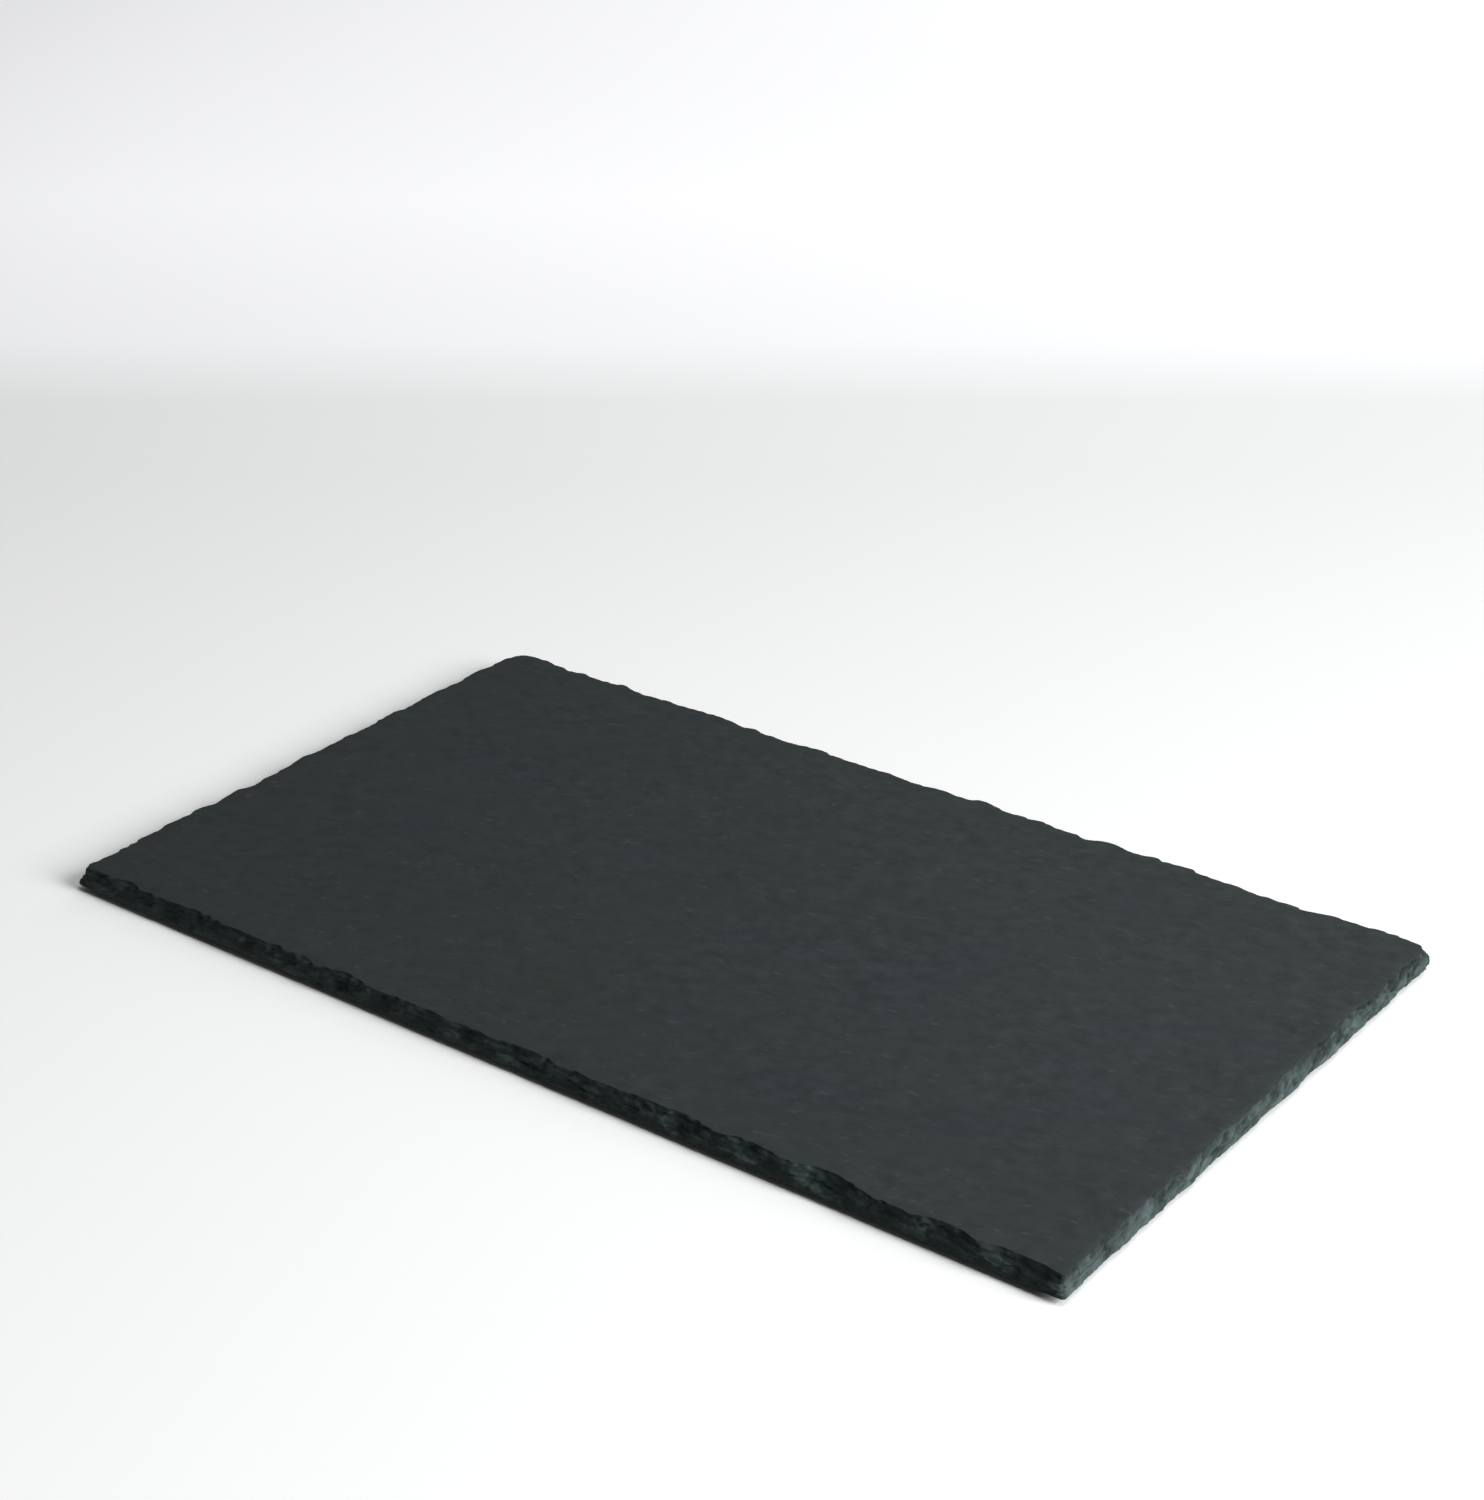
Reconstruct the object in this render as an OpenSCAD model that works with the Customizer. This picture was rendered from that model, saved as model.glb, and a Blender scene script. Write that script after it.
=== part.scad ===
// Slate serving board: one slab of split slate that stands on four peel-and-stick foam pads.
// The long side lies along X, the top face looks up, and Z = 0 is the table under the pads.
// Front is -Y and left is -X.

/* [Slate] */
// Length of the slate along X, at its straight lower edge
slate_length = 300; // [220:1:420]
// Width of the slate along Y, at its straight lower edge
slate_width = 175; // [130:1:300]
// Thickness of the split slate
slate_thickness = 5; // [4:0.1:8]
// Radius of the corners, seen from above
corner_radius = 1; // [0.5:0.5:12]

/* [Dressed edge] */
// How far the even first dressing sets the top edge back from the outline
dressing_reach = 1.2; // [0.5:0.1:1.4]
// Height of the straight rim below the first dressing
dressing_rim = 1.6; // [1.4:0.1:2.4]
// Shortest share of a side that one long flake scar takes
scar_length_min = 9; // [6:0.5:12]
// Longest share of a side that one long flake scar takes
scar_length_max = 24; // [14:0.5:30]
// Reach of the shortest long scars into the top face
scar_reach_min = 1.4; // [1:0.1:1.8]
// Most reach of the longest scars into the top face
scar_reach_max = 3.6; // [2:0.1:4.5]
// How much longer a scar is than its share of the side, so that neighbours meet in a ridge
scar_overlap = 1.25; // [1.15:0.05:1.6]
// Least height of the straight rim that is left below the long scars
rim_height_min = 0.5; // [0.3:0.1:1]
// Most height of the straight rim that is left below the long scars
rim_height_max = 1.4; // [1.1:0.1:2.4]
// Usual distance between the chips that the last, lighter blows leave
chip_spacing = 15; // [10:1:40]
// Length of the shortest chips
chip_length_min = 8; // [6:0.5:10]
// Length of the longest chips
chip_length_max = 14; // [11:0.5:20]
// Reach of the shortest chips into the top face
chip_reach_min = 1.4; // [1:0.1:1.8]
// Most reach of the longest chips into the top face
chip_reach_max = 3.4; // [2:0.1:4]
// Least share of the most reach that chance leaves to a scar or chip of full length
reach_chance_min = 0.5; // [0.2:0.05:0.9]
// Depth of the shallowest chips below the top face
chip_drop_min = 2; // [1.5:0.1:2.5]
// Depth of the deepest chips below the top face
chip_drop_max = 3.6; // [2.6:0.1:3.8]
// Share of their full reach that the scars and chips have on the front side
front_force = 1; // [0.5:0.05:1.2]
// Share of their full reach that the scars and chips have on the rear side
rear_force = 1; // [0.5:0.05:1.2]
// Share of their full reach that the scars and chips have on the left side
left_force = 0.75; // [0.5:0.05:1.2]
// Share of their full reach that the scars and chips have on the right side
right_force = 0.65; // [0.5:0.05:1.2]
// Length of the scar that clips a corner
corner_scar_length = 18; // [14:0.5:24]
// Most reach of the scar that clips a corner
corner_scar_reach = 2.8; // [1.5:0.1:3.5]
// Number that picks one chance pattern of scars
scar_seed = 21; // [1:1:99]

/* [Foot pads] */
// Diameter of a foam pad
pad_diameter = 14; // [8:0.5:24]
// Thickness of a foam pad
pad_thickness = 1.6; // [1:0.1:4]
// Radius of the rounded lower rim of a foam pad
pad_rim_radius = 0.5; // [0.2:0.1:0.8]
// Distance from the slate's sides to the middle of a pad
pad_inset = 22; // [16:0.5:40]
// Thickness of the adhesive film between a pad and the slate
film_thickness = 0.2; // [0.1:0.05:0.5]
// How far the film's edge lies inside the pad's edge
film_setback = 0.4; // [0.2:0.1:1]

/* [Hidden] */

// Heights above the table
film_base = pad_thickness;
slate_base = film_base + film_thickness;
slate_top = slate_base + slate_thickness;

// Straight runs of the sides, between the corner arcs
long_run = slate_length - 2 * corner_radius;
short_run = slate_width - 2 * corner_radius;

// Depth of the deepest and the shallowest long scars below the top face, at the outline
drop_max = slate_thickness - rim_height_min;
drop_min = slate_thickness - rim_height_max;

// Lengths and reaches of the long scars and of the chips, from the least to the most
scar_lengths = [scar_length_min, scar_length_max];
scar_reaches = [scar_reach_min, scar_reach_max];
chip_lengths = [chip_length_min, chip_length_max];
chip_reaches = [chip_reach_min, chip_reach_max];

// Sides as straight run, distance from the middle, direction, seed and force: front, rear, left and right
sides = [
    [long_run, slate_width / 2, 180, scar_seed, front_force],
    [long_run, slate_width / 2, 0, scar_seed + 10, rear_force],
    [short_run, slate_length / 2, 90, scar_seed + 20, left_force],
    [short_run, slate_length / 2, -90, scar_seed + 30, right_force]
];

// Rounds of blows that take off the long flakes, and how far a cut stands clear of the slate
long_rounds = 3;
cut_margin = 1;

// The hardest blows on the front side, as share of the half run from the middle towards the left end,
// length and reach
front_blows = [
    [0.77, 18, 2.6],
    [0.38, 14, 2.8],
    [-0.32, 14, 3],
    [-0.6, 24, 3.8]
];

// The corners that were clipped, as side along X, side along Y and share of the most reach
corner_blows = [
    [-1, -1, 1],
    [-1, 1, 0.85],
    [1, -1, 0.65]
];

// Middle of a pad, measured from the middle of the board
pad_x = slate_length / 2 - pad_inset;
pad_y = slate_width / 2 - pad_inset;

slate_colour = [0.21, 0.24, 0.24];
foam_colour = [0.1, 0.1, 0.11];
film_colour = [0.85, 0.84, 0.78];

round_facets = 64;

// Sum of the first numbers of a list
function sum_of(list, count) = count == 0 ? 0 : sum_of(list, count - 1) + list[count - 1];

// Reach of a scar, which grows from the shortest length to the longest and is held back by chance
function reach_for(length, lengths, reaches, chance) =
    let (
        share = (length - lengths[0]) / (lengths[1] - lengths[0])
    )
    reaches[0] + (reaches[1] - reaches[0]) * share * chance;

// A scar is listed as its place from the middle of its run, its length, its reach and its drop.
// Long scars fill one straight run end to end.
function long_scars(side) =
    let (
        run = side[0],
        seed = side[3],
        count = max(2, round(2 * run / (scar_length_min + scar_length_max))),
        lengths = rands(scar_length_min, scar_length_max, count, seed),
        chances = rands(reach_chance_min, 1, count, seed + 1),
        drops = rands(drop_min, drop_max, count, seed + 2),
        fit = run / sum_of(lengths, count)
    )
    [for (i = [0 : count - 1]) [
        fit * (sum_of(lengths, i) + lengths[i] / 2) - run / 2,
        fit * lengths[i] * scar_overlap,
        side[4] * reach_for(lengths[i], scar_lengths, scar_reaches, chances[i]),
        drops[i]
    ]];

// Chips lie at uneven distances along a straight run.
function chips(side) =
    let (
        run = side[0],
        seed = side[3] + 3,
        count = max(2, round(run / chip_spacing)),
        space = run / count,
        strays = rands(-space / 2, space / 2, count, seed),
        lengths = rands(chip_length_min, chip_length_max, count, seed + 1),
        chances = rands(reach_chance_min, 1, count, seed + 2),
        drops = rands(chip_drop_min, chip_drop_max, count, seed + 3)
    )
    [for (i = [0 : count - 1]) [
        (i + 0.5) * space + strays[i] - run / 2,
        lengths[i],
        side[4] * reach_for(lengths[i], chip_lengths, chip_reaches, chances[i]),
        drops[i]
    ]];

// The hardest blows on the front side leave scars of the full depth.
function hard_scars() = [for (b = front_blows) [b[0] * long_run / 2, b[1], b[2], drop_max]];

// Plan of the slate: a rectangle with round corners
module outline() {
    square([slate_length, short_run], center = true);
    square([long_run, slate_width], center = true);
    for (x = [-1, 1], y = [-1, 1]) {
        translate([x * long_run / 2, y * short_run / 2])
            circle(r = corner_radius, $fn = round_facets);
    }
}

// Slate as it is split and cut to size, before its edges are dressed
module blank() {
    translate([0, 0, slate_base])
        linear_extrude(height = slate_thickness)
            outline();
}

// Section through what the first dressing takes off. The slate's side is at X = 0 and +X points out of it.
module dressing_section() {
    polygon([
        [0, slate_base + dressing_rim],
        [-dressing_reach, slate_top],
        [-dressing_reach, slate_top + cut_margin],
        [cut_margin, slate_top + cut_margin],
        [cut_margin, slate_base + dressing_rim]
    ]);
}

// The same section at a corner, set out from the middle of the corner's arc and kept clear of the far side
module corner_section() {
    intersection() {
        translate([corner_radius, 0])
            dressing_section();
        translate([0, slate_base])
            square([corner_radius, slate_thickness] + cut_margin * [1, 1]);
    }
}

// First dressing, along the four sides and round the four corners
module first_dressing() {
    for (side = sides) {
        rotate([0, 0, side[2]])
            translate([0, side[1], 0])
                rotate([90, 0, 90])
                    linear_extrude(height = side[0], center = true)
                        dressing_section();
    }
    for (turn = [0 : 90 : 270]) {
        x = cos(turn) - sin(turn);
        y = cos(turn) + sin(turn);
        translate([x * long_run / 2, y * short_run / 2, 0])
            rotate([0, 0, turn])
                rotate_extrude(angle = 90, $fn = round_facets)
                    corner_section();
    }
}

// Flake that leaves one scar. The slate's side is the XZ plane and +Y points out of it.
// A ball cuts an arc of the given length and reach into the top face, and leaves the side at the drop.
// The flake is the part of that ball near the edge.
module flake(length, reach, drop) {
    half = length / 2;
    arc = (half * half + reach * reach) / (2 * reach);
    rise = max(0, (half * half - drop * drop) / (2 * drop));
    intersection() {
        translate([0, arc - reach, slate_top + rise])
            sphere(r = norm([arc, rise]), $fn = round_facets);
        translate([-half - cut_margin, -reach - cut_margin, slate_base - cut_margin])
            cube([length, reach, slate_thickness] + cut_margin * [2, 2, 2]);
    }
}

// Listed flakes along one side of the slate
module side_flakes(scars, side) {
    rotate([0, 0, side[2]]) {
        for (s = scars) {
            translate([s[0], side[1], 0])
                flake(s[1], s[2], s[3]);
        }
    }
}

// Flake that clips one corner, square to the corner's diagonal
module corner_flake(blow) {
    translate([blow[0] * long_run / 2, blow[1] * short_run / 2, 0])
        rotate([0, 0, atan2(blow[1], blow[0]) - 90])
            translate([0, corner_radius, 0])
                flake(corner_scar_length, corner_scar_reach * blow[2], drop_max);
}

// Flakes of one round of blows, which lie apart from each other
module round_of_flakes(turn) {
    for (side = sides) {
        longs = long_scars(side);
        side_flakes([for (i = [turn : long_rounds : len(longs) - 1]) longs[i]], side);
    }
}

// Slate after the first dressing and a number of rounds of blows
module dressed_slate(rounds) {
    if (rounds < 1) {
        difference() {
            blank();
            first_dressing();
        }
    } else {
        difference() {
            dressed_slate(rounds - 1);
            round_of_flakes(rounds - 1);
        }
    }
}

module slate_slab() {
    color(slate_colour)
        difference() {
            difference() {
                dressed_slate(long_rounds);
                for (blow = corner_blows) {
                    corner_flake(blow);
                }
                side_flakes(hard_scars(), sides[0]);
            }
            for (side = sides) {
                side_flakes(chips(side), side);
            }
        }
}

// Foam disc, cut square at the top and rounded at its lower rim
module foot_pad(x, y) {
    straight = pad_diameter / 2 - pad_rim_radius;
    color(foam_colour)
        translate([x * pad_x, y * pad_y, 0])
            rotate_extrude($fn = round_facets) {
                square([straight, pad_thickness]);
                translate([0, pad_rim_radius])
                    square([pad_diameter / 2, pad_thickness - pad_rim_radius]);
                translate([straight, pad_rim_radius])
                    intersection() {
                        circle(r = pad_rim_radius, $fn = round_facets);
                        translate([0, -pad_rim_radius])
                            square(pad_rim_radius);
                    }
            }
}

// Thin adhesive disc that holds a pad to the slate
module adhesive(x, y) {
    color(film_colour)
        translate([x * pad_x, y * pad_y, film_base])
            cylinder(d = pad_diameter - 2 * film_setback, h = film_thickness, $fn = round_facets);
}

slate_slab();
foot_pad(-1, -1);  // foot_pad_front_left
foot_pad(1, -1);  // foot_pad_front_right
foot_pad(-1, 1);  // foot_pad_rear_left
foot_pad(1, 1);  // foot_pad_rear_right
adhesive(-1, -1);  // adhesive_front_left
adhesive(1, -1);  // adhesive_front_right
adhesive(-1, 1);  // adhesive_rear_left
adhesive(1, 1);  // adhesive_rear_right
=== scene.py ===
import math

import bpy
import numpy as np
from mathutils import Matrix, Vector
from mathutils.bvhtree import BVHTree


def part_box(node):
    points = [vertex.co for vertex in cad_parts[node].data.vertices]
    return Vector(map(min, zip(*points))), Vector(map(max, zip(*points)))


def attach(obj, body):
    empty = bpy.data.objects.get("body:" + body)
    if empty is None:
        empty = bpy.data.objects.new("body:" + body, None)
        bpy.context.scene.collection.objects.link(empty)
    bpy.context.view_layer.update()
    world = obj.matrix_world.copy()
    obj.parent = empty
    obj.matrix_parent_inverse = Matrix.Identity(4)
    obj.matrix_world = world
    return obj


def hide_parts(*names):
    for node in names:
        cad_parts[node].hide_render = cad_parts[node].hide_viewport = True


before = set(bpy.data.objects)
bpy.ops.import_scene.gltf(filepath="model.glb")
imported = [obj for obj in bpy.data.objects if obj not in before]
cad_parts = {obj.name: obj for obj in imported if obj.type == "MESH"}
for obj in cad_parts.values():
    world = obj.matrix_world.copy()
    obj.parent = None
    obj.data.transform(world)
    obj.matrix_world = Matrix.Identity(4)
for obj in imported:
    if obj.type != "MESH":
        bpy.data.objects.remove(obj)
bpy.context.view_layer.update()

scene = bpy.context.scene
scene.view_settings.view_transform = "Standard"
mm = 0.001
print("frame loaded:", sorted(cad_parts))


# camera at the photo's viewing angle
shot = {
    "azimuth": 37.03,  # degrees from the front towards the right
    "elevation": 25.87,
    "distance": 856.7 * mm,
    "target": (-62.15 * mm, 83.51 * mm, 0),
    "focalPixels": 2998.8,
    "imageHeight": 1500,
    "sensor": 36,
    "clip": (0.01, 50),  # nearest and farthest, in metres
}


# puts a camera or lamp out from a point and turns it back to that point
def aim(thing, point, direction, distance):
    thing.location = Vector(point) + direction * distance
    thing.rotation_euler = (-direction).to_track_quat("-Z", "Y").to_euler()
    scene.collection.objects.link(thing)


def makeCamera():
    turn, rise = math.radians(shot["azimuth"]), math.radians(shot["elevation"])
    back = Vector((math.sin(turn) * math.cos(rise), -math.cos(turn) * math.cos(rise), math.sin(rise)))
    data = bpy.data.cameras.new("photoCamera")
    data.sensor_width = shot["sensor"]
    data.lens = shot["focalPixels"] * shot["sensor"] / shot["imageHeight"]
    data.clip_start, data.clip_end = shot["clip"]
    camera = bpy.data.objects.new("photoCamera", data)
    aim(camera, shot["target"], back, shot["distance"])
    scene.camera = camera


makeCamera()
print("camera set")


# short ways to write node trees
class Tree:
    def __init__(self, tree):
        self.tree = tree

    def node(self, kind, links=None, values=None, **settings):
        made = self.tree.nodes.new(kind)
        for key, value in settings.items():
            setattr(made, key, value)
        for key, value in (values or {}).items():
            made.inputs[key].default_value = value
        for key, source in (links or {}).items():
            self.tree.links.new(source, made.inputs[key])
        return made

    # a number or a colour goes on the socket itself, an output is linked
    def feed(self, socket, value):
        if isinstance(value, (int, float, tuple)):
            socket.default_value = value
        else:
            self.tree.links.new(value, socket)

    def noise(self, vector, scale, detail, rough=0.5):
        values = {"Scale": scale, "Detail": detail, "Roughness": rough}
        return self.node("ShaderNodeTexNoise", {"Vector": vector}, values).outputs["Fac"]

    # noise in a pattern's own sizes, turned about the upright
    def pattern(self, place, kind, turn=0.0):
        values = {"Scale": [s * mm for s in kind["size"]], "Rotation": (0, 0, turn)}
        mapped = self.node("ShaderNodeMapping", {"Vector": place}, values, vector_type="TEXTURE")
        return self.noise(mapped.outputs["Vector"], 1.0, kind["detail"], kind.get("rough", 0.5))

    def spread(self, source, low, high, toLow=0.0, toHigh=1.0):
        values = {"From Min": low, "From Max": high, "To Min": toLow, "To Max": toHigh}
        return self.node("ShaderNodeMapRange", {"Value": source}, values).outputs["Result"]

    # a pattern over the range that it is given
    def share(self, place, kind, turn=0.0):
        return self.spread(self.pattern(place, kind, turn), *kind["spread"])

    def math(self, operation, first, second):
        made = self.node("ShaderNodeMath", operation=operation)
        self.feed(made.inputs[0], first)
        self.feed(made.inputs[1], second)
        return made.outputs["Value"]

    def mix(self, share, first, second, blend="MIX"):
        made = self.node("ShaderNodeMix", data_type="RGBA", blend_type=blend)
        colourIn = [s for s in made.inputs if s.type == "RGBA"]
        factorIn = [s for s in made.inputs if s.type == "VALUE"][0]
        self.feed(factorIn, share)
        self.feed(colourIn[0], first)
        self.feed(colourIn[1], second)
        return [s for s in made.outputs if s.type == "RGBA"][0]

    def bump(self, height, distance, strength, under=None):
        links = {"Height": height}
        if under is not None:
            links["Normal"] = under
        values = {"Distance": distance, "Strength": strength}
        return self.node("ShaderNodeBump", links, values).outputs["Normal"]

    # what is the same all over a surface is set on the shader itself
    def surface(self, colour, rough, normal, values=None):
        links = {"Base Color": colour, "Roughness": rough, "Normal": normal}
        self.finish(self.node("ShaderNodeBsdfPrincipled", links, values).outputs["BSDF"])

    def finish(self, shader):
        self.node("ShaderNodeOutputMaterial", {"Surface": shader})


# an empty material, its tree, and the place in the object to draw its patterns by
def newMaterial(name):
    material = bpy.data.materials.new(name)
    material.use_nodes = True
    material.node_tree.nodes.clear()
    tree = Tree(material.node_tree)
    return material, tree, tree.node("ShaderNodeTexCoord").outputs["Object"]


def ease(t):
    return t * t * (3 - 2 * t)


def smoothStep(x, low, high):
    return ease(np.clip((x - low) / (high - low), 0, 1))


noiseCells = 64  # cells of chance values before they repeat


# smooth chance values from -1 to 1; in the first direction they close after a number of cells
def softNoise(a, b, wraps, seed):
    table = np.random.default_rng(seed).uniform(-1, 1, (wraps, noiseCells))
    i = np.floor(a).astype(int)
    j = np.floor(b).astype(int)
    f = ease(a - i)
    g = ease(b - j)
    i, nextI = i % wraps, (i + 1) % wraps
    j, nextJ = j % noiseCells, (j + 1) % noiseCells
    low = table[i, j] * (1 - f) + table[nextI, j] * f
    high = table[i, nextJ] * (1 - f) + table[nextI, nextJ] * f
    return low * (1 - g) + high * g


# a piece that stands for a CAD node; edges sharper than an angle stay crisp
def addPiece(name, vertices, faces, material, node, sharp):
    mesh = bpy.data.meshes.new(name)
    mesh.from_pydata([tuple(v) for v in vertices], [], faces)
    mesh.update()
    mesh.materials.append(material)
    mesh.shade_smooth()
    mesh.set_sharp_from_angle(angle=math.radians(sharp))
    piece = bpy.data.objects.new(name, mesh)
    scene.collection.objects.link(piece)
    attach(piece, "root")
    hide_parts(node)
    return piece


# slate slab: the solid's edge is felt out, then broken up into small flaked facets
slate = {
    "node": "slate_slab",
    "cornerRadius": 1 * mm,
    "band": 5 * mm,  # width of the finely netted edge, seen from above
    "deepest": 0.94,  # share of the band that the scars may take
    "cell": 1.667 * mm,  # net of the top face inside that band
    "stepsPerCell": 4,  # stations along the edge for each cell
    "arcSteps": 8,  # stations round a corner
    "edgeRows": 28,  # rows of points up the broken edge
    "topRows": 4,  # rows from there to the net
    "topCrowd": 1.7,  # how much these rows crowd towards the edge
    "underCells": 3,  # cells of the top net to one of the under net
    "underRim": 0.6 * mm,  # width of the level rim round the riven underside
    "sharp": 32,  # degrees
    # how the solid's edge is felt: first inset, step, and how near to the top a hit counts as on it
    "probeFrom": 0.02 * mm,
    "probeStep": 0.07 * mm,
    "probeFlush": 0.01 * mm,
    # the scars
    "rimHeight": 0.9 * mm,  # height of the lower rim, which takes less of the facets
    "coveFrom": 0.2,  # share of the height from which a scar is hollowed
    "ledge": 1.5 * mm,  # height of a step where the slate breaks along its layers
    "tread": 0.4,  # share of that height that slopes back
    "stepped": 0.2,  # share of the step form against the solid's plain scar
    "rub": 4,  # stations to each side over which sharp points of the edge are rubbed off
    "worn": 3,  # stations to each side over which the top edge is worn smooth
    "wornFrom": 0.75,  # share of the height from which it is
    "wornShare": 0.8,
    "shoulders": (1, 0.45, 0.12),  # shares of the top edge's rounding on its row and the next ones
    "grit": {"length": 1.1 * mm, "height": 0.5 * mm, "depth": 0.06 * mm, "seed": 8},
    "notches": {"length": 1.7 * mm, "height": 0.8 * mm, "depth": 0.35 * mm, "seed": 12},
    "notchFrom": 0.5,  # share of the height from which the top edge is nicked
    # bites out of the lower rim, and their depth against the side's own
    "crumbs": (
        {"length": 17 * mm, "depth": 0.57, "seed": 21},
        {"length": 7 * mm, "depth": 0.67, "seed": 22},
        {"length": 2.5 * mm, "depth": 0.5, "seed": 23},
    ),
    # facets: length along the edge, height, how far they lean, depth, and how much of the tone they set
    "facets": (
        {"length": 8.0 * mm, "height": 2.4 * mm, "lean": -1.3, "depth": 0.45 * mm, "tone": 0.35, "seed": 3},
        {"length": 4.2 * mm, "height": 2.6 * mm, "lean": -0.5, "depth": 0.25 * mm, "tone": 0.6, "seed": 9},
        {"length": 2.1 * mm, "height": 1.3 * mm, "lean": -0.7, "depth": 0.3 * mm, "tone": 0.4, "seed": 5},
    ),
    "facetRows": 16,  # rows of facets before they repeat
    "facetStray": 0.45,  # how far the middle of a facet strays in its cell
    "facetTilt": 0.45,
    "facetLimit": 1.2,  # deepest point of a facet against its depth
    "toneRim": 1.2,  # how much the tones of the facets differ at the rim
    "toneDrop": 0.5,  # how much less they differ at the top edge
    "fadeMiddle": 0.55,  # share of the height at which a break has its plain tone, with neither painted light nor painted shade
    # painted shade goes into the hollows of the break; they are seen by rows up and down and stations
    # along, close by and further round
    "hollowNear": (1, 1),
    "hollowWide": (4, 6),
    "hollowFull": 0.3 * mm,  # depth that counts as a full hollow, which takes the full painted shade
    # how each side was dressed, and the painted light and shade of its break: front, right, rear and left
    "sideBlend": 12,  # stations over which the dressing of one side passes into the next
    "sides": {
        "cove": (0.0, 0.1 * mm, 0.1 * mm, 0.1 * mm),  # how much a scar is hollowed out beyond the solid's
        "play": (0.75, 1.0, 1.0, 1.0),  # depth of the facets against their sizes
        "rimPlay": (0.45, 0.6, 0.6, 0.6),  # share of it that the lower rim takes
        "crumble": (0.04 * mm, 0.3 * mm, 0.12 * mm, 0.12 * mm),  # how far the rim is broken back
        "shoulder": (0.05 * mm, 0.2 * mm, 0.1 * mm, 0.1 * mm),  # rounding of the top edge
        "bevel": (1.0, 1.1, 0.6, 1.0),  # depth of a stretch evened at a corner, against the side's mean
        "contrast": (0.9, 1.0, 1.0, 1.0),  # how much the tones of the facets differ
        "shade": (0.4, -0.28, -0.28, -0.28),  # how much darker the facets are, below 0 paler: painted shade on the front side, painted light on the others
        "paintedRimLight": (0.2, 1.4, 1.4, 1.4),  # painted light: how much paler the break is at the rim than at the top edge, below which it is painted darker as shade
    },
    # the corners: front right, rear right, rear left and front left
    "corners": {
        "wear": (0.1 * mm, 1.1 * mm, 1.8 * mm, 0.2 * mm),  # how far the top of the corner is worn off
        "wearReach": 6 * mm,  # how far from a corner its wear ends
        "wearHeights": (0.3, 1.0),  # shares of the height between which the wear grows
        "rimWear": 0.25,  # share of the wear at the lower rim
        "even": (0, 1, 0, 0),  # how far the scars beside it are evened out
        "evenReach": 18 * mm,  # how far from a corner that ends
        "evenFull": 0.5,  # nearness to the corner from which it is complete
    },
    # riven faces: waves along and across the grain
    "grain": 12,  # degrees from the long side
    "relief": 0.16 * mm,  # depth of the faces
    "waves": (
        {"length": 70 * mm, "width": 40 * mm, "share": 0.32},
        {"length": 24 * mm, "width": 5 * mm, "share": 0.12},
        {"length": 9 * mm, "width": 2.2 * mm, "share": 0.06},
    ),
    "topSeed": 31,
    "underSeed": 41,
    # map for the bake: the top and its folded-out edge in the lower half, the underside in the upper half
    "mapSpan": 330 * mm,
    "mapSquash": 0.75,
    "mapMiddles": (0.25, 0.75),
    # fine relief of both materials; sizes in mm along the grain, across it and upwards
    "mottle": {"size": (4.7, 3.75, 4.0), "detail": 4.0, "rough": 0.6},
    "mottleBump": (0.06 * mm, 0.5),  # depth and strength
    "speckle": (900.0, 3.0, 0.6),  # scale, detail and roughness
    "speckleBump": (0.05 * mm, 0.6),
    "sheenTint": (0.86, 1.0, 1.0, 1),
    # riven face: clouds of tone and tint, mottling that is stronger in patches, and a few pale flecks
    "riven": {
        "clouds": {"size": (70, 45, 70), "detail": 3.0, "spread": (0.3, 0.7)},
        "tints": {"size": (40, 28, 40), "detail": 2.0, "spread": (0.35, 0.65, 0.0, 0.9)},
        "patches": {"size": (17, 12, 17), "detail": 2.0, "spread": (0.35, 0.65, 0.35, 1.0)},
        "flecks": {"size": (3.4, 1.4, 2.8), "detail": 1.0, "spread": (0.66, 0.8, 0.0, 0.4)},
        "dark": (0.0208, 0.0262, 0.0253, 1),
        "pale": (0.024, 0.0294, 0.0304, 1),
        "blue": (0.0229, 0.027, 0.031, 1),
        "fleck": (0.066, 0.077, 0.079, 1),
        "mottled": (0.25, 0.75, 0.62, 1.38),
        "rough": (0.3, 0.75, 0.78, 0.66),
        "shine": 0.5,
    },
    # fresh break: paler, greener and duller, each facet in a tone of its own with painted light and shade
    # by side and height, thin level bands and painted shade in its hollows
    "broken": {
        "bands": {"size": (2.6, 2.6, 1.5), "detail": 3.0, "rough": 0.6, "spread": (0.3, 0.7)},
        "dark": (0.017, 0.0235, 0.023, 1),
        "pale": (0.031, 0.043, 0.042, 1),
        "bright": (0.1, 0.136, 0.134, 1),
        "speck": (0.08, 0.106, 0.103, 1),
        # painted shade, laid into the hollows of the break
        "hollowShadeColour": (0.008, 0.011, 0.011, 1),
        "tonesAndPaintedLight": (-0.5, 1.3),
        "specks": (0.55, 0.75, 0.0, 0.3),
        "shadedHollows": (-0.2, 0.9, 0.0, 0.7),
        "rough": (0.3, 0.7, 0.56, 0.42),
        "shine": 0.1,
    },
}
sides, corners = slate["sides"], slate["corners"]
pointLooks = ("shade", "hollowShade")


def faceRelief(x, y, seed):
    turn = math.radians(slate["grain"])
    along = x * math.cos(turn) + y * math.sin(turn)
    across = y * math.cos(turn) - x * math.sin(turn)
    shape = 0.5
    for k, wave in enumerate(slate["waves"]):
        noise = softNoise(along / wave["length"], across / wave["width"], noiseCells, seed + k)
        shape = shape + wave["share"] * noise
    return slate["relief"] * np.clip(shape, 0, 1)


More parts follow.
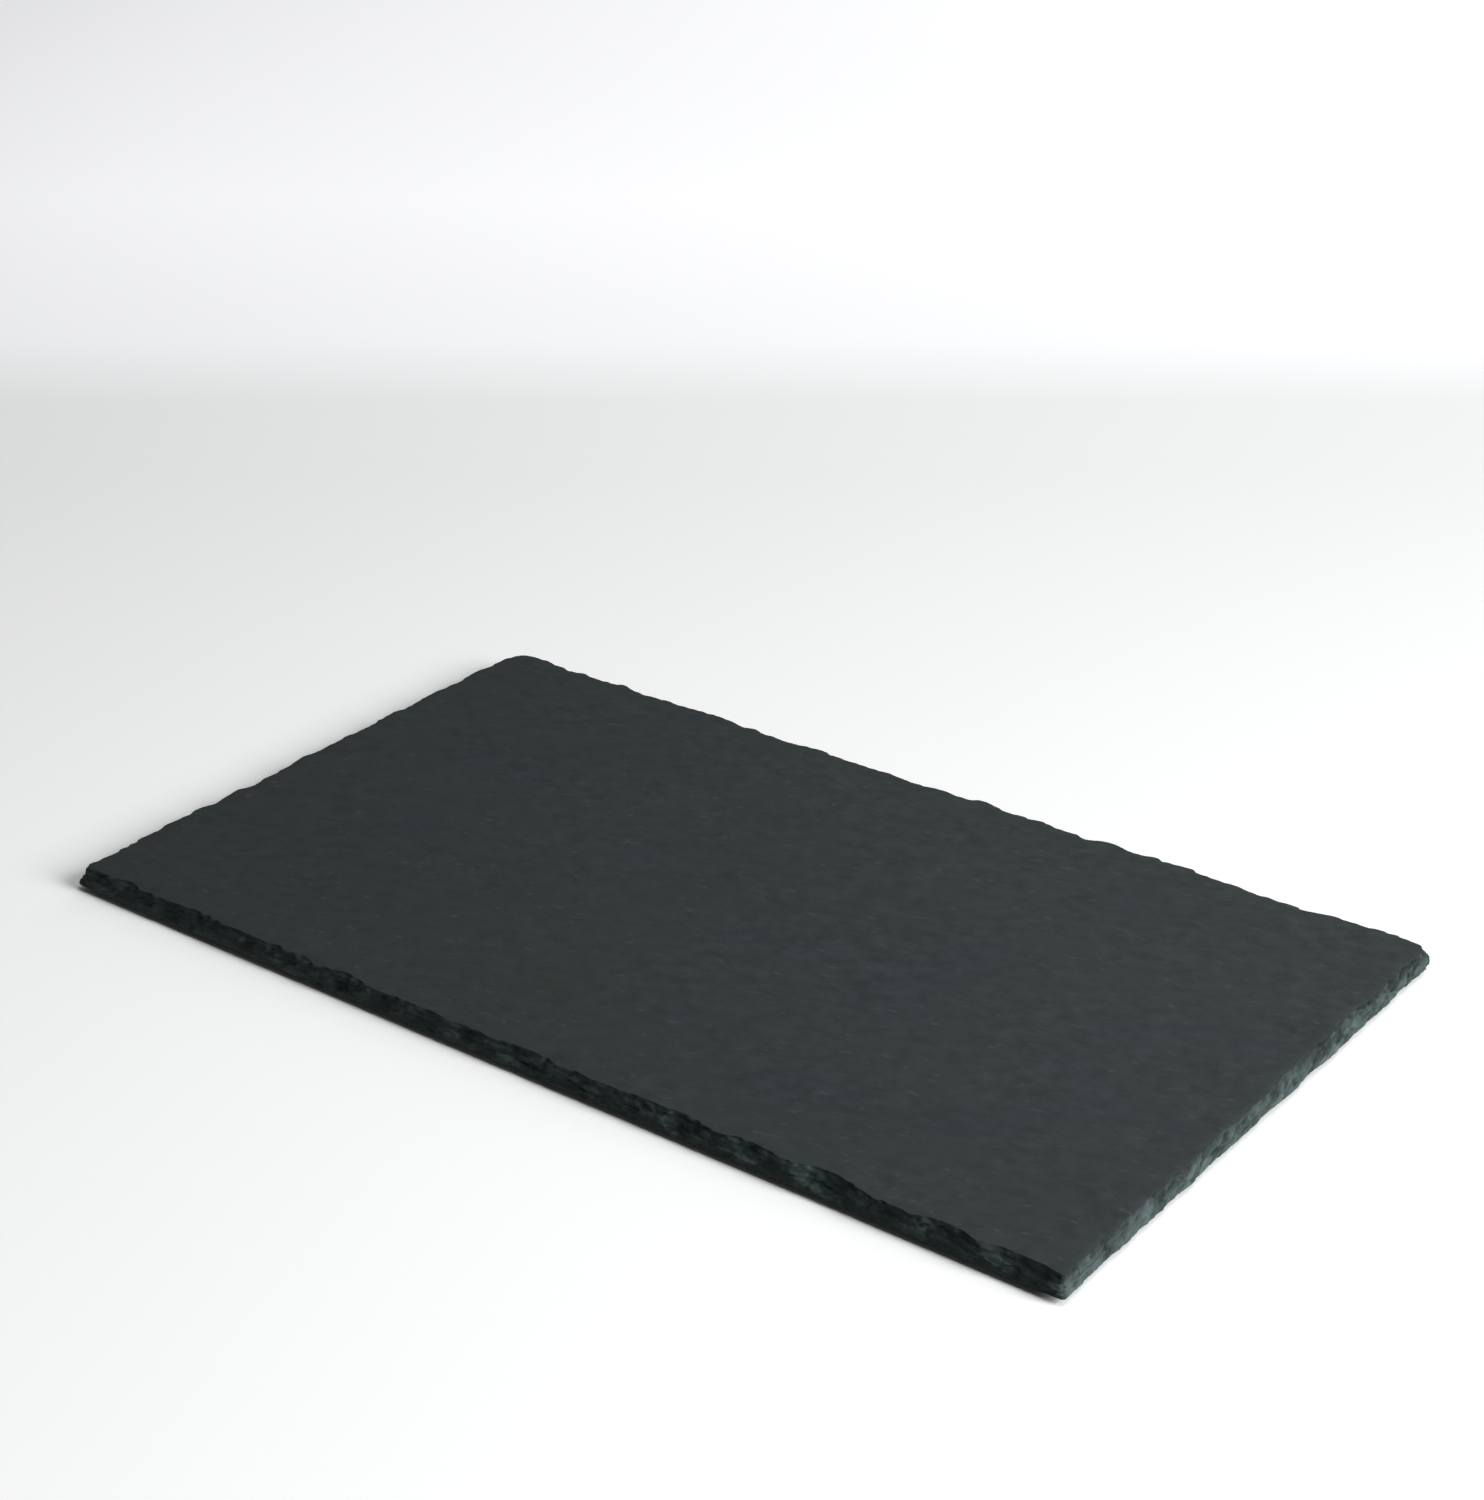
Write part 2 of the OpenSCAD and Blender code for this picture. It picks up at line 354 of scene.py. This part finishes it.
# stations round the slate: a point on the outline, one on the rectangle a band further in, and the side
def outlineStations(low, high):
    radius, band = slate["cornerRadius"], slate["band"]
    outerHalf = np.array((high.x - low.x, high.y - low.y)) / 2
    innerHalf = outerHalf - band
    cells = [round(2 * h / slate["cell"]) for h in innerHalf]
    signs = np.array([(-1, -1), (1, -1), (1, 1), (-1, 1)])
    outer, inner, side = [], [], []
    for k in range(4):
        a, b = signs[k], signs[(k + 1) % 4]
        count = slate["stepsPerCell"] * cells[k % 2]
        start = math.radians(90 * k - 90)
        out = np.array((math.cos(start), math.sin(start))).round()
        for i in range(count):
            sign = a + (b - a) * i / count
            inner.append(innerHalf * sign)
            outer.append((outerHalf - radius) * sign + radius * out)
            side.append(k)
        for i in range(slate["arcSteps"]):
            turn = start + math.pi / 2 * i / slate["arcSteps"]
            inner.append(innerHalf * b)
            outer.append((outerHalf - radius) * b + radius * np.array((math.cos(turn), math.sin(turn))))
            side.append(-1)  # on a corner
    return np.array(outer), np.array(inner), np.array(side), cells


# the solid's section at each station: straight rim, scar and the start of the flat top, evenly spaced
def feelEdge(outer, inner, base, top):
    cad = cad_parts[slate["node"]]
    points = [v.co.copy() for v in cad.data.vertices]
    tree = BVHTree.FromPolygons(points, [tuple(p.vertices) for p in cad.data.polygons])
    down = Vector((0, 0, -1))
    above = top + slate["band"]
    insets = np.arange(slate["probeFrom"], slate["deepest"] * slate["band"], slate["probeStep"])
    rows = slate["edgeRows"]
    edgeU = np.zeros((rows + 1, len(outer)))
    edgeZ = np.zeros((rows + 1, len(outer)))
    for i, (p, q) in enumerate(zip(outer, inner)):
        u, z = [0.0], [base]
        for inset in insets:
            x, y = p + (q - p) * inset / slate["band"]
            hit = tree.ray_cast(Vector((x, y, above)), down)[0]
            u.append(inset if len(u) > 1 else 0.0)
            z.append(hit.z if hit else base)
            if z[-1] > top - slate["probeFlush"]:
                break
        length = np.concatenate([[0], np.cumsum(np.hypot(np.diff(u), np.diff(z)))])
        at = np.linspace(0, length[-1], rows + 1)
        edgeU[:, i] = np.interp(at, length, u)
        edgeZ[:, i] = np.interp(at, length, z)
    return edgeU, np.minimum(edgeZ, top)


# uneven leaning cells along the edge; each has its own place, depth, tilt and tone
def facetField(s, z, total, size):
    rows, stray, tilt = slate["facetRows"], slate["facetStray"], slate["facetTilt"]
    columns = round(total / size["length"])
    chance = np.random.default_rng(size["seed"]).uniform(-1, 1, (6, columns, rows))
    a = (s + size["lean"] * z) * columns / total
    b = z / size["height"]
    ci = np.floor(a).astype(int)
    cj = np.floor(b).astype(int)
    nearest = np.full(s.shape, np.inf)
    depth = np.zeros(s.shape)
    tone = np.zeros(s.shape)
    for di in (-1, 0, 1):
        for dj in (-1, 0, 1):
            strayA, strayB, level, tiltA, tiltB, ownTone = chance[:, (ci + di) % columns, (cj + dj) % rows]
            da = a - (ci + di + 0.5 + stray * strayA)
            db = b - (cj + dj + 0.5 + stray * strayB)
            away = da * da + db * db
            ownDepth = 0.5 + 0.5 * level + tilt * tiltA * da + tilt * tiltB * db
            closer = away < nearest
            nearest = np.where(closer, away, nearest)
            depth = np.where(closer, ownDepth, depth)
            tone = np.where(closer, ownTone, tone)
    return (np.clip(depth, 0, slate["facetLimit"]) - 0.5) * size["depth"], tone * size["tone"]


# the scar follows the layers: steep steps with sloping treads, at heights of their own in each facet
def stepEdge(edgeU, edgeZ, phase, base):
    part = (edgeZ - base) / slate["ledge"] + phase
    whole = np.floor(part)
    climb = smoothStep(part - whole, 1 - slate["tread"], 1)
    level = base + (whole + climb - phase + 0.5 * (1 - slate["tread"])) * slate["ledge"]
    stepped = np.empty(edgeU.shape)
    for i in range(edgeU.shape[1]):
        rising = np.maximum.accumulate(edgeZ[:, i])
        stepped[:, i] = np.interp(level[:, i], rising, edgeU[:, i])
    return edgeU + slate["stepped"] * (stepped - edgeU)


def meanAlong(values, reach):
    return sum(np.roll(values, k, axis=1) for k in range(-reach, reach + 1)) / (2 * reach + 1)


def meanAround(values, up, along):
    padded = np.pad(values, ((up, up), (0, 0)), mode="edge")
    return meanAlong(sum(padded[k:k + len(values)] for k in range(2 * up + 1)) / (2 * up + 1), along)


# how far each point's close surroundings lie behind its wider ones; the break is painted darker there as
# shade
def shadedHollows(edgeU):
    return meanAround(edgeU, *slate["hollowNear"]) - meanAround(edgeU, *slate["hollowWide"])


# a value for each station from those of the four sides
def perSide(values, side):
    shares = [meanAlong((side == k)[None].astype(float), slate["sideBlend"]) for k in range(4)]
    return sum(value * share for value, share in zip(values, shares)) / sum(shares)


# nearness of each station to the four corners: 1 at a corner, 0 from the reach on
def nearCorners(run, total, side, reach):
    arcs = np.where(side < 0)[0].reshape(4, slate["arcSteps"])
    away = np.abs(run[None] - run[arcs].mean(axis=1)[:, None])
    return 1 - np.clip(np.minimum(away, total - away) / reach, 0, 1)


# near some corners the scars give way to an even bevel
def evenCorners(edgeU, run, total, side):
    near = smoothStep(nearCorners(run, total, side, corners["evenReach"]), 0, corners["evenFull"])
    share = np.array(corners["even"]) @ near
    even = [part * edgeU[:, side == k].mean(axis=1)[:, None] for k, part in enumerate(sides["bevel"])]
    return edgeU + share[None] * (perSide(even, side) - edgeU)


# depths by chance along the edge, in a pattern that closes round the board
def edgeNoise(s, level, total, size):
    cells = round(total / size["length"])
    return size["depth"] * softNoise(s * cells / total, level, cells, size["seed"])


# how far the lower rim is broken back at each station, about 1 on average
def rimBites(run, total):
    bites = np.ones(len(run))
    for size in slate["crumbs"]:
        bites += edgeNoise(run, np.zeros(len(run)), total, size)
    return np.maximum(bites, 0)


# the edge as it was broken and worn, with the tones of its points, which carry painted light and shade, and
# the painted shade of its hollows
def flakeEdge(edgeU, edgeZ, run, total, side, base, top):
    dressed = {name: perSide(values, side) for name, values in sides.items()}
    s = np.ones((len(edgeU), 1)) * run[None, :]
    z = edgeZ - base
    height = z / (top - base)
    rim = dressed["rimPlay"]
    free = dressed["play"] * (rim + (1 - rim) * smoothStep(z, 0, slate["rimHeight"]))
    fields = [facetField(s, z, total, size) for size in slate["facets"]]

    # the scars and facets
    edgeU = evenCorners(edgeU, run, total, side)
    edgeU = np.maximum(edgeU, meanAlong(edgeU, slate["rub"]))
    up = np.clip((height - slate["coveFrom"]) / (1 - slate["coveFrom"]), 0, 1)
    edgeU = edgeU + dressed["cove"] * np.sin(math.pi * up)
    edgeU = stepEdge(edgeU, edgeZ, 0.5 + fields[0][1], base)
    edgeU = np.maximum(edgeU, dressed["crumble"] * rimBites(run, total)[None])
    tonesAndPaintedLight = np.zeros(edgeU.shape)
    for depth, tone in fields:
        edgeU = edgeU + depth * free
        tonesAndPaintedLight += tone
    strength = slate["toneRim"] - slate["toneDrop"] * height
    # facet tones, with painted shade on the front side and painted light on the other sides
    tonesAndPaintedLight = tonesAndPaintedLight * dressed["contrast"] * strength - dressed["shade"]
    # painted light at the rim, turning to painted shade under the top edge
    tonesAndPaintedLight += dressed["paintedRimLight"] * (slate["fadeMiddle"] - height)

    # worn corners, grit, a worn top edge and nicks in it
    wear = np.array(corners["wear"]) @ nearCorners(run, total, side, corners["wearReach"]) ** 2
    low = corners["rimWear"]
    edgeU = edgeU + wear[None] * (low + (1 - low) * smoothStep(height, *corners["wearHeights"]))
    edgeU = edgeU + edgeNoise(s, z / slate["grit"]["height"], total, slate["grit"]) * free
    worn = slate["wornShare"] * smoothStep(height, slate["wornFrom"], 1)
    edgeU = edgeU + worn * (meanAlong(edgeU, slate["worn"]) - edgeU)
    notch = edgeNoise(s, z / slate["notches"]["height"], total, slate["notches"])
    edgeU = edgeU + notch * smoothStep(height, slate["notchFrom"], 1)
    edgeU = np.clip(edgeU, 0, slate["deepest"] * slate["band"])
    # the hollows are returned as the share of painted shade at each point
    return edgeU, tonesAndPaintedLight, np.clip(shadedHollows(edgeU) / slate["hollowFull"], -1, 1)


# points and faces of the slab; each point has its place in the map and its looks, which hold painted light
# and shade
class SlabNet:
    def __init__(self, side, corner):
        self.side = side
        self.count = len(side)
        self.corner = corner  # of the net inside the band
        self.whole = (0.0,) * len(pointLooks)
        self.plain = [self.whole] * self.count
        self.vertices, self.mapXY, self.looks, self.faces = [], [], [], []

    def addPoint(self, x, y, z, place, look):
        self.vertices.append((x, y, z))
        self.mapXY.append(place)
        self.looks.append(look)
        return len(self.vertices) - 1

    # a ring of points; on the border of the net the stations of an arc are one point
    def addRing(self, points, heights, places, looks, onNet):
        ring = np.zeros(self.count, int)
        for i in range(self.count):
            if not (onNet and self.side[i] < 0):
                ring[i] = self.addPoint(*points[i], heights[i], places[i], looks[i])
        if onNet:
            for i in range(self.count - 1, -1, -1):
                if self.side[i] < 0:
                    ring[i] = ring[(i + 1) % self.count]
        return ring

    def joinRings(self, a, b):
        for i in range(self.count):
            j = (i + 1) % self.count
            self.faces.append(list(dict.fromkeys([a[i], a[j], b[j], b[i]])))

    # a level net whose border takes up the fine stations of the ring round it
    def addNet(self, ring, nx, ny, fine, height, upward):
        border = [ring[i] for i in range(self.count) if self.side[i] >= 0]
        starts = [0, nx * fine, (nx + ny) * fine, (2 * nx + ny) * fine]
        grid = np.zeros((nx + 1, ny + 1), int)
        for i in range(nx + 1):
            grid[i, 0] = border[i * fine]
            grid[nx - i, ny] = border[starts[2] + i * fine]
        for j in range(ny + 1):
            grid[nx, j] = border[starts[1] + j * fine]
            grid[0, ny - j] = border[(starts[3] + j * fine) % len(border)]
        for i in range(1, nx):
            for j in range(1, ny):
                x, y = self.corner - 2 * self.corner * np.array((i / nx, j / ny))
                grid[i, j] = self.addPoint(x, y, height(x, y), (x, y), self.whole)

        def between(start):
            return [border[(start + k) % len(border)] for k in range(1, fine)]

        for i in range(nx):
            for j in range(ny):
                loop = [grid[i, j]]
                if j == 0:
                    loop += between(i * fine)
                loop.append(grid[i + 1, j])
                if i == nx - 1:
                    loop += between(starts[1] + j * fine)
                loop.append(grid[i + 1, j + 1])
                if j == ny - 1:
                    loop += between(starts[2] + (nx - 1 - i) * fine)
                loop.append(grid[i, j + 1])
                if i == 0:
                    loop += between(starts[3] + (ny - 1 - j) * fine)
                self.faces.append(loop if upward else loop[::-1])


def slateMesh():
    low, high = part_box(slate["node"])
    base, top, band = low.z, high.z, slate["band"]
    outer, inner, side, cells = outlineStations(low, high)
    count = len(outer)
    steps = np.hypot(*(np.roll(outer, -1, axis=0) - outer).T)
    run = np.concatenate([[0], np.cumsum(steps)[:-1]])
    edgeU, edgeZ = feelEdge(outer, inner, base, top)
    edgeU, tonesAndPaintedLight, hollowShade = flakeEdge(edgeU, edgeZ, run, steps.sum(), side, base, top)

    # rows from the lower rim over the scars to the inner border of the band
    rowsU, rowsZ = list(edgeU), list(edgeZ)
    for k in range(1, slate["topRows"] + 1):
        t = (k / slate["topRows"]) ** slate["topCrowd"]
        rowsU.append(edgeU[-1] + (band - edgeU[-1]) * t)
        rowsZ.append(np.full(count, top))
    rowsU, rowsZ = np.array(rowsU), np.array(rowsZ)
    flat = outer[None] + (inner - outer)[None] * (rowsU / band)[:, :, None]
    topFrom = slate["edgeRows"]
    lowered = faceRelief(flat[topFrom:, :, 0], flat[topFrom:, :, 1], slate["topSeed"])
    for k, share in enumerate(slate["shoulders"]):
        lowered[k] += share * perSide(sides["shoulder"], side)[0]
    rowsZ[:topFrom] -= lowered[0] * (rowsZ[:topFrom] - base) / (top - base)
    rowsZ[topFrom:] -= lowered

    # unfolded map: the top lies flat and the edge folds out round it
    rise = np.hypot(np.diff(rowsU, axis=0), np.diff(rowsZ, axis=0))
    fold = np.concatenate([np.cumsum(rise[::-1], axis=0)[::-1], np.zeros((1, count))])
    outward = (outer - inner) / np.hypot(*(outer - inner).T)[:, None]
    foldXY = inner[None] + outward[None] * fold[:, :, None]

    # the broken edge and the band come first, then the top net
    net = SlabNet(side, inner[0])
    rings = []
    for r in range(len(rowsU)):
        looks = net.plain if r > topFrom else list(zip(tonesAndPaintedLight[r], hollowShade[r]))
        rings.append(net.addRing(flat[r], rowsZ[r], foldXY[r], looks, r == len(rowsU) - 1))
    for a, b in zip(rings, rings[1:]):
        net.joinRings(a, b)
    brokenFaces = count * topFrom
    fine = slate["stepsPerCell"]
    net.addNet(rings[-1], *cells, fine, lambda x, y: top - float(faceRelief(x, y, slate["topSeed"])), True)
    topFaces = len(net.faces)

    # underside: a ring just inside the rim, one at the net's border, then the net
    seed = slate["underSeed"]
    rimXY = outer + (inner - outer) * ((rowsU[0] + slate["underRim"]) / band)[:, None]
    rimRing = net.addRing(rimXY, np.full(count, base), rimXY, net.plain, False)
    netRing = net.addRing(inner, base + faceRelief(inner[:, 0], inner[:, 1], seed), inner, net.plain, True)
    net.joinRings(rimRing, rings[0])
    net.joinRings(netRing, rimRing)
    wide = slate["underCells"]
    under = [n // wide for n in cells]
    net.addNet(netRing, *under, fine * wide, lambda x, y: base + float(faceRelief(x, y, seed)), False)
    return net, brokenFaces, topFaces


# the fine relief of both slate materials, and the two patterns that make it
def slateRelief(tree, place):
    mottle = tree.pattern(place, slate["mottle"], math.radians(slate["grain"]))
    speckle = tree.noise(place, *slate["speckle"])
    normal = tree.bump(speckle, *slate["speckleBump"], tree.bump(mottle, *slate["mottleBump"]))
    return {"mottle": mottle, "speckle": speckle, "normal": normal}


def slateSurface(tree, colour, rough, relief, shine):
    values = {"Specular IOR Level": shine, "Specular Tint": slate["sheenTint"]}
    tree.surface(colour, rough, relief["normal"], values)


def rivenMaterial():
    material, tree, place = newMaterial("rivenSlate")
    look = slate["riven"]
    turn = math.radians(slate["grain"])
    relief = slateRelief(tree, place)
    mottled = tree.spread(relief["mottle"], *look["mottled"])
    face = tree.mix(tree.share(place, look["clouds"], turn), look["dark"], look["pale"])
    face = tree.mix(tree.share(place, look["tints"], turn), face, look["blue"])
    face = tree.mix(tree.share(place, look["patches"], turn), face, mottled, "MULTIPLY")
    face = tree.mix(tree.share(place, look["flecks"], turn), face, look["fleck"])
    rough = tree.spread(relief["mottle"], *look["rough"])
    slateSurface(tree, face, rough, relief, look["shine"])
    return material


def brokenMaterial():
    material, tree, place = newMaterial("brokenSlate")
    look = slate["broken"]
    relief = slateRelief(tree, place)
    point = {}
    for name in pointLooks:
        point[name] = tree.node("ShaderNodeAttribute", attribute_name=name).outputs["Fac"]
    torn = tree.mix(tree.share(place, look["bands"]), look["dark"], look["pale"])
    # the tones carry painted light and shade as well as the facets' own tones
    torn = tree.mix(tree.spread(point["shade"], *look["tonesAndPaintedLight"]), torn, look["bright"])
    torn = tree.mix(tree.spread(relief["speckle"], *look["specks"]), torn, look["speck"])
    # painted shade in the hollows of the break
    torn = tree.mix(tree.spread(point["hollowShade"], *look["shadedHollows"]), torn, look["hollowShadeColour"])
    rough = tree.spread(relief["speckle"], *look["rough"])
    slateSurface(tree, torn, rough, relief, look["shine"])
    return material


def makeMap(mesh, mapXY, topFaces):
    corner = np.zeros(len(mesh.loops), int)
    mesh.loops.foreach_get("vertex_index", corner)
    uv = mapXY[corner] / slate["mapSpan"]
    upper = np.zeros(len(mesh.loops), bool)
    upper[mesh.polygons[topFaces].loop_start:] = True
    topMiddle, underMiddle = slate["mapMiddles"]
    uv[:, 1] = np.where(upper, underMiddle, topMiddle) + uv[:, 1] * slate["mapSquash"]
    uv[:, 0] += 0.5
    layer = mesh.uv_layers.new(name="OFBake")
    layer.data.foreach_set("uv", uv.astype(np.float32).ravel())


def makeSlate():
    net, brokenFaces, topFaces = slateMesh()
    riven, broken = rivenMaterial(), brokenMaterial()
    piece = addPiece("slateSlab", net.vertices, net.faces, riven, slate["node"], slate["sharp"])
    mesh = piece.data
    mesh.materials.append(broken)
    isBroken = np.arange(len(mesh.polygons)) < brokenFaces
    mesh.polygons.foreach_set("material_index", isBroken.astype(np.int32))
    for name, values in zip(pointLooks, np.array(net.looks, np.float32).T):
        layer = mesh.attributes.new(name, "FLOAT", "POINT")
        layer.data.foreach_set("value", values)
    makeMap(mesh, np.array(net.mapXY), topFaces)
    print("slate:", len(mesh.vertices), "points,", len(mesh.polygons), "faces")


makeSlate()


# foam pads and the adhesive films above them, turned like on a lathe
turned = {
    "names": ("front_left", "front_right", "rear_left", "rear_right"),
    "around": 96,
    "waves": 24,  # uneven places round the side
    "drift": 0.7,  # how far they change from ring to ring
    "calm": 2 * mm,  # radius within which they die down
    "sharp": 50,  # degrees
}
pad = {
    "under": (0.12, 0.3, 0.5, 0.7, 0.85),  # rings of the lower face, in shares of the radius
    "over": (0.95, 0.8, 0.6, 0.4, 0.2),  # and of the upper face
    "rim": 0.5 * mm,
    "rimSteps": 6,
    "sideSteps": 5,
    "drawn": 0.12 * mm,  # how far the pressed foam draws in towards the top
    "uneven": 0.03 * mm,
    "seed": 50,
    "cells": 2600.0,  # scale of the foam's cells
    "cellSpread": (0.1, 0.7),
    "dark": (0.011, 0.011, 0.012, 1),
    "pale": (0.026, 0.026, 0.028, 1),
    "dust": (420.0, 3.0),  # scale and detail
    "dustSpread": (0.55, 0.8, 0.0, 0.4),
    "dusty": (0.05, 0.05, 0.05, 1),
    "rough": (0.0, 0.8, 0.95, 0.78),
    "bump": (0.12 * mm, 0.8),  # depth and strength
    "shine": 0.3,
}
film = {
    "rings": (0.2, 0.5, 0.8, 0.97),  # of both faces, in shares of the radius
    "halfSide": 0.03 * mm,  # of the upright part of the side
    "uneven": 0.12 * mm,
    "seed": 60,
    "cloudy": (350.0, 3.0),  # scale and detail
    "cloudSpread": (0.3, 0.7),
    "dark": (0.5, 0.48, 0.4, 1),
    "pale": (0.66, 0.64, 0.57, 1),
    "rough": (0.3, 0.7, 0.45, 0.3),
    "bump": (0.03 * mm, 0.5),
}


def lathe(centre, profile, uneven, seed):
    around, waves = turned["around"], turned["waves"]
    vertices, faces = [], []
    angle = np.arange(around) * 2 * math.pi / around
    for k, (r, z) in enumerate(profile):
        wave = softNoise(angle / (2 * math.pi) * waves, np.full(around, turned["drift"] * k), waves, seed)
        reach = r - uneven * (0.5 + 0.5 * wave) * min(1, r / turned["calm"])
        for a, q in zip(angle, reach):
            vertices.append((centre.x + q * math.cos(a), centre.y + q * math.sin(a), z))
    for k in range(len(profile) - 1):
        for i in range(around):
            j = (i + 1) % around
            faces.append((k * around + i, k * around + j, (k + 1) * around + j, (k + 1) * around + i))
    faces.append(tuple(range(around - 1, -1, -1)))
    first = (len(profile) - 1) * around
    faces.append(tuple(range(first, first + around)))
    return vertices, faces


def padProfile(radius, low, high):
    rim = pad["rim"]
    profile = [(radius * share, low) for share in pad["under"]]
    for k in range(pad["rimSteps"] + 1):
        a = math.pi / 2 * k / pad["rimSteps"]
        profile.append((radius - rim + rim * math.sin(a), low + rim - rim * math.cos(a)))
    for k in range(1, pad["sideSteps"] + 1):
        t = k / pad["sideSteps"]
        profile.append((radius - pad["drawn"] * t * t, low + rim + (high - low - rim) * t))
    return profile + [(radius * share, high) for share in pad["over"]]


def filmProfile(radius, low, high):
    middle, half = (low + high) / 2, film["halfSide"]
    profile = [(radius * share, low) for share in film["rings"]]
    profile += [(radius, middle - half), (radius, middle + half)]
    return profile + [(radius * share, high) for share in film["rings"][::-1]]


def foamMaterial():
    material, tree, place = newMaterial("closedFoam")
    foam = tree.node("ShaderNodeTexVoronoi", {"Vector": place}, {"Scale": pad["cells"]})
    cells = foam.outputs["Distance"]
    dust = tree.noise(place, *pad["dust"])
    colour = tree.mix(tree.spread(cells, *pad["cellSpread"]), pad["dark"], pad["pale"])
    colour = tree.mix(tree.spread(dust, *pad["dustSpread"]), colour, pad["dusty"])
    rough = tree.spread(cells, *pad["rough"])
    tree.surface(colour, rough, tree.bump(cells, *pad["bump"]), {"Specular IOR Level": pad["shine"]})
    return material


def filmMaterial():
    material, tree, place = newMaterial("adhesiveFilm")
    cloudy = tree.noise(place, *film["cloudy"])
    colour = tree.mix(tree.spread(cloudy, *film["cloudSpread"]), film["dark"], film["pale"])
    rough = tree.spread(cloudy, *film["rough"])
    tree.surface(colour, rough, tree.bump(cloudy, *film["bump"]))
    return material


def turnedPiece(name, node, number, makeProfile, settings, material):
    low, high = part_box(node)
    profile = makeProfile((high.x - low.x) / 2, low.z, high.z)
    vertices, faces = lathe((low + high) / 2, profile, settings["uneven"], settings["seed"] + number)
    return addPiece(name, vertices, faces, material, node, turned["sharp"])


def makePads():
    foam, clear = foamMaterial(), filmMaterial()
    for k, at in enumerate(turned["names"]):
        piece = turnedPiece("footPad_" + at, "foot_pad_" + at, k, padProfile, pad, foam)
        turnedPiece("adhesive_film_" + at, "adhesive_" + at, k, filmProfile, film, clear)
    print("pads and films:", len(turned["names"]))


makePads()


# stage: one pale floor; its colour rises towards the back and the left, where less light falls on it
stage = {
    "size": 8,
    "bounce": (0.12, 0.12, 0.12, 1),  # floor's colour for the light that it scatters
    # colour along the view, by metres beyond the camera's target; the soft fold of the paper lies at 0.3
    "tone": (
        (-0.3, 1.145),
        (-0.1, 1.165),
        (0.11, 1.2),
        (0.22, 1.23),
        (0.3, 1.29),
        (0.375, 1.58),
        (0.58, 1.93),
        (1.02, 2.25),
    ),
    "across": (-0.3, 0.3, 1.04, 0.915),  # metres to the left and right, and the colour's share at each
    "fold": (0.28, 0.42),  # metres between which the tint changes
    "nearTint": (0.992, 1.004, 1.0, 1),
    "farTint": (0.988, 0.992, 1.02, 1),
}


def floorMaterial():
    material, tree, place = newMaterial("paleFloor")
    apart = tree.node("ShaderNodeSeparateXYZ", {"Vector": place}).outputs
    tone = stage["tone"][0][1]
    for (start, first), (end, last) in zip(stage["tone"], stage["tone"][1:]):
        tone = tree.math("ADD", tree.spread(apart["Y"], start, end, 0.0, last - first), tone)
    paper = tree.math("MULTIPLY", tone, tree.spread(apart["X"], *stage["across"]))
    tint = tree.mix(tree.spread(apart["Y"], *stage["fold"]), stage["nearTint"], stage["farTint"])
    shown = tree.node("ShaderNodeBsdfDiffuse", {"Color": tree.mix(1.0, tint, paper, "MULTIPLY")})
    bounce = tree.node("ShaderNodeBsdfDiffuse", None, {"Color": stage["bounce"]})
    # the pale colour is for what is seen of the floor: directly, in a reflection or through glass
    rays = tree.node("ShaderNodeLightPath").outputs
    mirrored = tree.math("MAXIMUM", rays["Is Glossy Ray"], rays["Is Transmission Ray"])
    seen = tree.math("MAXIMUM", rays["Is Camera Ray"], mirrored)
    links = {"Fac": seen, 1: bounce.outputs["BSDF"], 2: shown.outputs["BSDF"]}
    tree.finish(tree.node("ShaderNodeMixShader", links).outputs["Shader"])
    return material


def makeFloor():
    half = stage["size"] / 2
    square = [(-half, -half, 0), (half, -half, 0), (half, half, 0), (-half, half, 0)]
    mesh = bpy.data.meshes.new("paleFloor")
    mesh.from_pydata(square, [], [(0, 1, 2, 3)])
    mesh.materials.append(floorMaterial())
    floor = bpy.data.objects.new("paleFloor", mesh)
    scene.collection.objects.link(floor)
    floor.location = (shot["target"][0], shot["target"][1], 0)
    floor.rotation_euler = (0, 0, math.radians(shot["azimuth"]))


makeFloor()


# light: a large soft lamp from the right, weaker ones from above and from behind, and a dim room
lamps = {
    "key": {"from": (0.87, 0.06, 0.48), "distance": 1.5, "size": 0.8, "watts": 25.5},
    "top": {"from": (0.3, -0.05, 0.95), "distance": 1.5, "size": 0.8, "watts": 6.0},
    "back": {"from": (-0.2, 0.88, 0.43), "distance": 2, "size": 1.2, "watts": 5},
}
room = {"colour": (1, 1, 1, 1), "strength": 0.055}


def makeLights():
    for name, lamp in lamps.items():
        data = bpy.data.lights.new(name, "AREA")
        data.shape = "SQUARE"
        data.size = lamp["size"]
        data.energy = lamp["watts"]
        light = bpy.data.objects.new(name, data)
        aim(light, (0, 0, 0), Vector(lamp["from"]).normalized(), lamp["distance"])
    world = bpy.data.worlds.new("dimRoom")
    scene.world = world
    world.use_nodes = True
    shade = world.node_tree.nodes["Background"]
    shade.inputs["Color"].default_value = room["colour"]
    shade.inputs["Strength"].default_value = room["strength"]


makeLights()
print("stage and light set")
